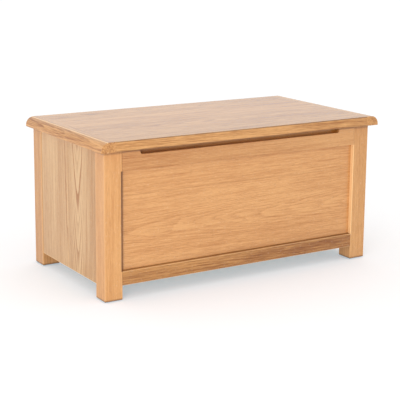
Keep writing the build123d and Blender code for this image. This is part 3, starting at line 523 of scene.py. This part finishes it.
OAK_LOOKS = {
    # Dark inner arris between the rails: a painted shadow beside the recessed panel
    "leg_front_left": look(
        "zxy", (95.0, 80.0), -0.004, 3.0, 1.5, 0.8, between=rails, seam=0.0, streaks=0.7,
        arris=(0.25, -1.0), edge=4.6, **leg_colours,
    ),
    # Pale inner arris and pale line: a painted light strip on the inner face beside the recessed panel
    "leg_front_right": look(
        "zxy", (-90.0, 70.0), 0.004, 3.2, 1.8, 0.8, 0.92, between=rails, seam=0.0, arris=(0.3, 0.15),
        line=(-26.0, 1.0), line_depth=15.0, **leg_colours,
    ),
    "leg_back_left": look("zyx", (85.0, 90.0), 0.004, 3.1, 1.5, 0.8, 0.87, **leg_colours),
    "leg_back_right": look("zyx", (-95.0, 80.0), -0.003, 3.0, 1.6, 0.8, 0.95, **leg_colours),
    # Seam and its reach past the left leg: painted shadow in the recess; the dark line is the stave joint
    "front_panel": look(
        "xzy", (-35.0, 75.0), -0.030, 2.7, 2.2, 0.6, 0.97, between=front_frame, seam=1.0,
        reach={"x": 7.5}, joint=64.0, lean=0.08, line=(66.0, -0.1),
    ),
    # Seam: painted shade in the recess corners
    "back_panel": look(
        "xzy", (28.0, 60.0), 0.032, 2.8, 2.2, 0.6, 0.97, between=back_frame, seam=0.8, joint=-50.0,
    ),
    # Seam under the lid and its reach: a painted shadow of the lid; painted shade in the finger notch
    "front_top_rail": look(
        "xzy", (60.0, 60.0), 0.012, 3.0, 1.8, 0.8, 0.9, between=under_lid, reach={"z": 6.5},
        seam=0.55, arris=(0.0, 0.3), lean=-0.35, hollow=-13.0,
    ),
    "back_top_rail": look("xzy", (-50.0, 60.0), -0.012, 3.0, 1.8, 0.9, 0.92, between=back_legs),
    "front_bottom_rail": look(
        "xzy", (45.0, 40.0), -0.06, 2.8, 2.0, 1.1, 0.91, between=front_legs, lean=0.2, streaks=1.3,
        **low_rail_colours,
    ),
    "back_bottom_rail": look(
        "xzy", (-45.0, 40.0), 0.05, 2.8, 2.0, 1.1, 1.06, between=back_legs, **low_rail_colours,
    ),
    "side_board_left_front": look(
        "zyx", (23.0, 76.0), -0.042, 3.4, 1.2, 2.0, 0.95, between=left_front, streaks=0.6,
        **side_colours,
    ),
    "side_board_left_back": look(
        "zyx", (-90.0, 60.0), -0.012, 3.0, 2.0, 1.1, 0.97, between=left_back, streaks=0.6,
        **side_colours,
    ),
    "side_board_right_front": look(
        "zyx", (-80.0, 50.0), 0.014, 3.0, 2.0, 1.1, between=right_front, streaks=0.6, **side_colours,
    ),
    "side_board_right_back": look(
        "zyx", (8.0, 76.0), 0.042, 3.4, 1.2, 1.7, between=right_back, streaks=0.6, **side_colours,
    ),
    "lid_board_1": look(
        "xyz", (20.0, 60.0), 0.03, 3.0, 2.0, 0.8, 0.92, arris=(-0.5, 0.0), edge=3.2, **lid_colours,
    ),
    "lid_board_2": look(
        "xyz", (-15.0, 70.0), -0.03, 2.8, 2.0, 0.9, 0.96, arris=(0.0, 0.0), lean=0.12, **lid_colours,
    ),
    "lid_board_3": look(
        "xyz", (80.0, 60.0), 0.015, 3.0, 2.0, 0.8, 1.01, arris=(0.0, 0.0), lean=0.12, **lid_colours,
    ),
    "lid_board_4": look(
        "xyz", (5.0, 65.0), 0.03, 2.8, 2.0, 0.9, 0.97, arris=(0.0, 0.4), lean=0.12, **lid_colours,
    ),
    # Pale line: a painted highlight where the round-over begins
    "lid_end_board_left": look(
        "yxz", (60.0, 50.0), 0.02, 3.0, 1.5, 0.8, 0.98, line=(-3.0, 1.0), arris=(0.0, -0.1),
        **lid_colours,
    ),
    "lid_end_board_right": look(
        "yxz", (-60.0, 50.0), 0.02, 3.0, 1.5, 0.8, 0.92, arris=(-0.1, 0.0), **lid_colours,
    ),
    "floor_board_1": look("xyz", (10.0, 50.0), 0.03, 3.0, 2.0, 0.8, **batten_colours),
    "floor_board_2": look("xyz", (-60.0, 50.0), 0.02, 3.0, 2.0, 0.8, 0.96, **batten_colours),
    "floor_board_3": look("xyz", (15.0, 60.0), -0.03, 3.0, 2.0, 0.8, 1.03, **batten_colours),
    "floor_board_4": look("xyz", (55.0, 45.0), -0.02, 3.0, 2.0, 0.8, 0.98, **batten_colours),
    "floor_cleat_front": look("xzy", (40.0, 30.0), 0.02, 3.0, 1.5, 0.8, **batten_colours),
    "floor_cleat_back": look("xzy", (-40.0, 30.0), 0.02, 3.0, 1.5, 0.8, **batten_colours),
    "floor_cleat_left": look("yzx", (40.0, 30.0), 0.02, 3.0, 1.5, 0.8, **batten_colours),
    "floor_cleat_right": look("yzx", (-40.0, 30.0), 0.02, 3.0, 1.5, 0.8, **batten_colours),
    "side_batten_left": look("yzx", (50.0, 40.0), 0.02, 3.0, 2.0, 0.8, **batten_colours),
    "side_batten_right": look("yzx", (-50.0, 40.0), 0.02, 3.0, 2.0, 0.8, **batten_colours),
    "lid_batten_left": look("yxz", (50.0, 40.0), 0.02, 3.0, 2.0, 0.8, **batten_colours),
    "lid_batten_right": look("yxz", (-50.0, 40.0), 0.02, 3.0, 2.0, 0.8, **batten_colours),
}

# ---- Metal, felt and plastic ------------------------------------------------------------------

BRASS_BRIGHT = (0.74, 0.53, 0.25)
BRASS_DULL = (0.52, 0.36, 0.17)
STEEL_BRIGHT = (0.62, 0.61, 0.59)
STEEL_DULL = (0.45, 0.44, 0.42)
SCREW_BRIGHT = (0.66, 0.64, 0.60)
SCREW_DULL = (0.44, 0.42, 0.39)
BRUSHED_ALONG_X = (14.0, 0.35, 0.35)  # lengths of the brush marks, in millimetres
BRUSHED_ALONG_Y = (0.35, 9.0, 0.35)
UNBRUSHED = (0.6, 0.6, 0.6)
FELT_DARK = (0.20, 0.13, 0.08)
FELT_LIGHT = (0.33, 0.23, 0.15)
NYLON_DARK = (0.085, 0.06, 0.04)
NYLON_SCUFFED = (0.2, 0.16, 0.12)

def object_point(g):
    """Object coordinates in millimetres."""
    scaled = g.vector("SCALE", g.node("ShaderNodeTexCoord").outputs["Object"])
    scaled.node.inputs["Scale"].default_value = MILLIMETRES
    return scaled


def metal_material(name, bright, dull, brushed, rough):
    """Metal with brush marks as long as brushed says, and a mottled tarnish."""
    made, g, shader = new_material(name)
    point = object_point(g)
    marks = g.noise(point, brushed, 2.0)
    tarnish = g.noise(point, (9.0, 9.0, 9.0), 4.0, 0.6)
    colour = g.mix(g.smooth(tarnish, 0.38, 0.68), rgba(bright), rgba(dull))
    g.feed(shader.inputs["Base Color"], colour)
    spread = g.math("MULTIPLY_ADD", marks, 0.22, g.math("MULTIPLY_ADD", tarnish, 0.2, rough - 0.2))
    g.feed(shader.inputs["Roughness"], spread)
    bump = g.node("ShaderNodeBump", {"Height": marks, "Strength": 0.25, "Distance": 0.00005})
    g.feed(shader.inputs["Normal"], bump.outputs["Normal"])
    shader.inputs["Metallic"].default_value = 1.0
    return made


def felt_material():
    """Pressed brown felt: matted fibres of two browns."""
    made, g, shader = new_material("felt")
    point = object_point(g)
    mat = g.noise(point, (0.5, 0.5, 0.5), 4.0, 0.7)
    fibres = g.noise(point, (1.6, 0.25, 0.4), 3.0, 0.6)
    colour = g.mix(g.smooth(mat, 0.35, 0.65), rgba(FELT_DARK), rgba(FELT_LIGHT))
    g.feed(shader.inputs["Base Color"], colour)
    g.feed(shader.inputs["Roughness"], g.math("MULTIPLY_ADD", mat, 0.2, 0.8))
    height = g.math("ADD", mat, fibres)
    bump = g.node("ShaderNodeBump", {"Height": height, "Strength": 0.8, "Distance": 0.0003})
    g.feed(shader.inputs["Normal"], bump.outputs["Normal"])
    shader.inputs["Sheen Weight"].default_value = 0.3
    return made


def nylon_material():
    """Moulded brown nylon, scuffed where it slides on the floor."""
    made, g, shader = new_material("nylon")
    point = object_point(g)
    grain = g.noise(point, (0.4, 0.4, 0.4), 3.0, 0.6)
    scuffs = g.noise(point, (6.0, 0.8, 2.0), 3.0, 0.6)
    colour = g.mix(g.smooth(scuffs, 0.5, 0.75), rgba(NYLON_DARK), rgba(NYLON_SCUFFED))
    g.feed(shader.inputs["Base Color"], colour)
    g.feed(shader.inputs["Roughness"], g.math("MULTIPLY_ADD", scuffs, 0.3, 0.4))
    bump = g.node("ShaderNodeBump", {"Height": grain, "Strength": 0.4, "Distance": 0.0001})
    g.feed(shader.inputs["Normal"], bump.outputs["Normal"])
    return made


# ---- Put the materials on the parts -------------------------------------------------------------


def dress(node, material):
    """Replace a CAD part's packed finish with a material of this script."""
    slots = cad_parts[node].material_slots
    for slot in slots:
        slot.material = material


OAK = oak_group()
for seed, (node, board_look) in enumerate(OAK_LOOKS.items(), start=1):
    dress(node, oak_material(f"oak_{node}", node, board_look, seed))

brass = metal_material("satin_brass", BRASS_BRIGHT, BRASS_DULL, BRUSHED_ALONG_X, 0.3)
steel = metal_material("brushed_steel", STEEL_BRIGHT, STEEL_DULL, BRUSHED_ALONG_Y, 0.32)
screw_steel = metal_material("screw_steel", SCREW_BRIGHT, SCREW_DULL, UNBRUSHED, 0.28)
felt = felt_material()
nylon = nylon_material()

OTHER_PARTS = {
    "hinge_": brass,
    "stay_": steel,
    "lid_buffers": felt,
    "leg_glides": nylon,
}
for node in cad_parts:
    if node in OAK_LOOKS:
        continue
    if "screws" in node:
        dress(node, screw_steel)
        continue
    prefix = next(p for p in OTHER_PARTS if node.startswith(p))
    dress(node, OTHER_PARTS[prefix])

# ---- Floor --------------------------------------------------------------------------------------


def make_floor():
    bpy.ops.mesh.primitive_plane_add(size=FLOOR_SIZE, location=(0.0, 0.0, cad_low.z))
    floor = bpy.context.object
    floor.name = "studio_floor"
    made, g, shader = new_material("studio_floor")
    speckle = g.noise(object_point(g), (30.0, 30.0, 30.0), 3.0)
    lighter = tuple(c * 1.02 for c in FLOOR_PAINT)
    colour = g.mix(speckle, rgba(FLOOR_PAINT), rgba(lighter))
    g.feed(shader.inputs["Base Color"], colour)
    shader.inputs["Roughness"].default_value = 0.9
    shader.inputs["Specular IOR Level"].default_value = 0.1
    shader.inputs["Emission Color"].default_value = rgba(FLOOR_GLOW)
    shader.inputs["Emission Strength"].default_value = 1.0
    floor.data.materials.append(made)


make_floor()

# ---- Light ----------------------------------------------------------------------------------------


def direction(azimuth, elevation):
    """Unit vector from the chest towards a point at that azimuth and elevation."""
    turn = Matrix.Rotation(radians(-azimuth), 3, "Z")
    tilt = Matrix.Rotation(radians(-elevation), 3, "X")
    return turn @ tilt @ Vector((0.0, -1.0, 0.0))


def make_world():
    world = bpy.data.worlds.new("studio")
    bpy.context.scene.world = world
    world.use_nodes = True
    g = Graph(world.node_tree)
    background = next(n for n in world.node_tree.nodes if n.type == "BACKGROUND")
    height = g.split(g.node("ShaderNodeTexCoord").outputs["Generated"])[2]
    strength = g.smooth(height, 0.15, 0.8, WORLD_HORIZON, WORLD_ZENITH)
    g.feed(background.inputs["Strength"], strength)
    background.inputs["Color"].default_value = rgba((1.0, 1.0, 1.0))


def make_softbox(name, azimuth, elevation, distance, size, power):
    data = bpy.data.lights.new(name, "AREA")
    data.shape = "SQUARE"
    data.size = size
    data.energy = power
    lamp = bpy.data.objects.new(name, data)
    bpy.context.scene.collection.objects.link(lamp)
    away = direction(azimuth, elevation)
    lamp.location = middle + away * distance
    lamp.rotation_mode = "QUATERNION"
    lamp.rotation_quaternion = away.to_track_quat("Z", "Y")


middle = (cad_low + cad_high) / 2
make_world()
make_softbox("key", KEY_AZIMUTH, KEY_ELEVATION, KEY_DISTANCE, KEY_SIZE, KEY_POWER)
bpy.context.scene.view_settings.view_transform = "Standard"

# ---- Camera -----------------------------------------------------------------------------------------


def make_camera():
    data = bpy.data.cameras.new("camera")
    data.sensor_width = CAMERA_SENSOR
    data.lens = CAMERA_LENS
    data.shift_y = CAMERA_SHIFT_Y
    camera = bpy.data.objects.new("camera", data)
    bpy.context.scene.collection.objects.link(camera)
    away = direction(CAMERA_AZIMUTH, CAMERA_ELEVATION)
    right = Vector((0.0, 0.0, 1.0)).cross(away).normalized()
    up = away.cross(right)
    aim = middle + right * CAMERA_AIM_RIGHT + up * CAMERA_AIM_UP
    turn = Matrix((right, up, away)).transposed() @ Matrix.Rotation(radians(CAMERA_ROLL), 3, "Z")
    camera.location = aim + away * CAMERA_DISTANCE
    camera.rotation_mode = "QUATERNION"
    camera.rotation_quaternion = turn.to_quaternion()
    bpy.context.scene.camera = camera


make_camera()

# ---- Update the view layer ------------------------------------------------------------------------------

bpy.context.view_layer.update()
